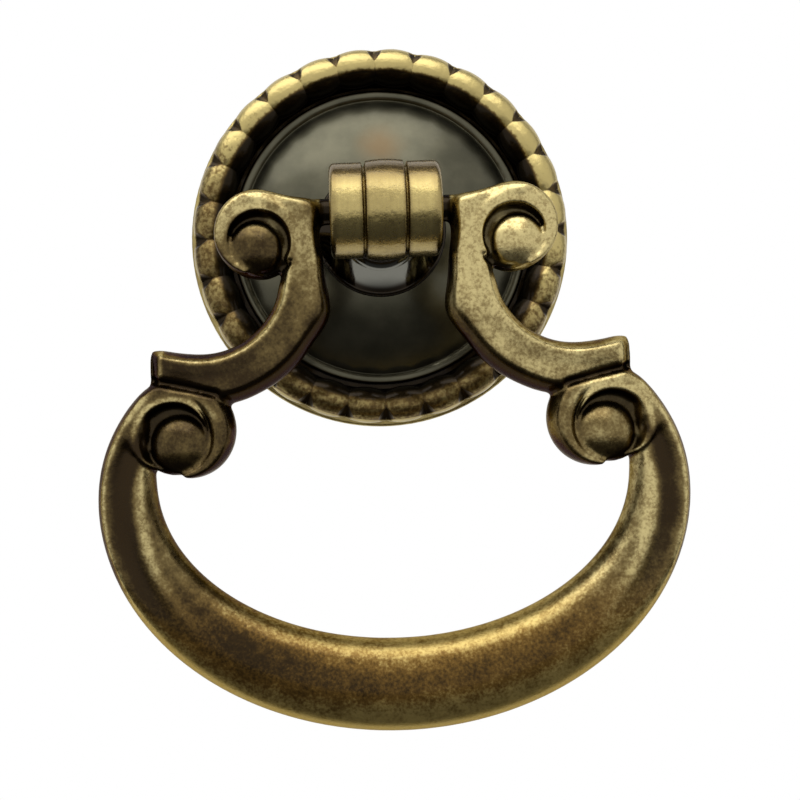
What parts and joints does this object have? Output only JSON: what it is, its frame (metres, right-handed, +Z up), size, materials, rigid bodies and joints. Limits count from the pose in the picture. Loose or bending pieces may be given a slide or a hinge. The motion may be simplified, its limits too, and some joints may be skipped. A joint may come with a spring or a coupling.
{
  "type": "ring pull handle",
  "caption": "Drop ring pull for a drawer or cabinet door: round beaded backplate, hinge post with a banded barrel, and a scrolled ring that swings up on it.",
  "frame": {"origin": "centre of the backplate's back face, at the mouth of the screw hole", "axes": "+Z up the furniture front, +Y into the furniture, so the front of the handle looks along -Y; +X to the right seen from the front"},
  "size_m": [0.04, 0.0154, 0.0502],
  "materials": {
    "plate_brass": "antiqued and lacquered",
    "post_brass": "polished and lacquered",
    "ring_brass": "antiqued and lacquered"
  },
  "bodies": {
    "base": {"backplate": "plate_brass", "hinge_post": "post_brass"},
    "ring": {"ring": "ring_brass"}
  },
  "joints": [
    {"name": "ring_hinge", "type": "hinge", "parent": "base", "child": "ring", "pos_m": [0, -0.012, 0], "axis": [-1, 0, 0], "range_deg": [-15, 195]}
  ]
}
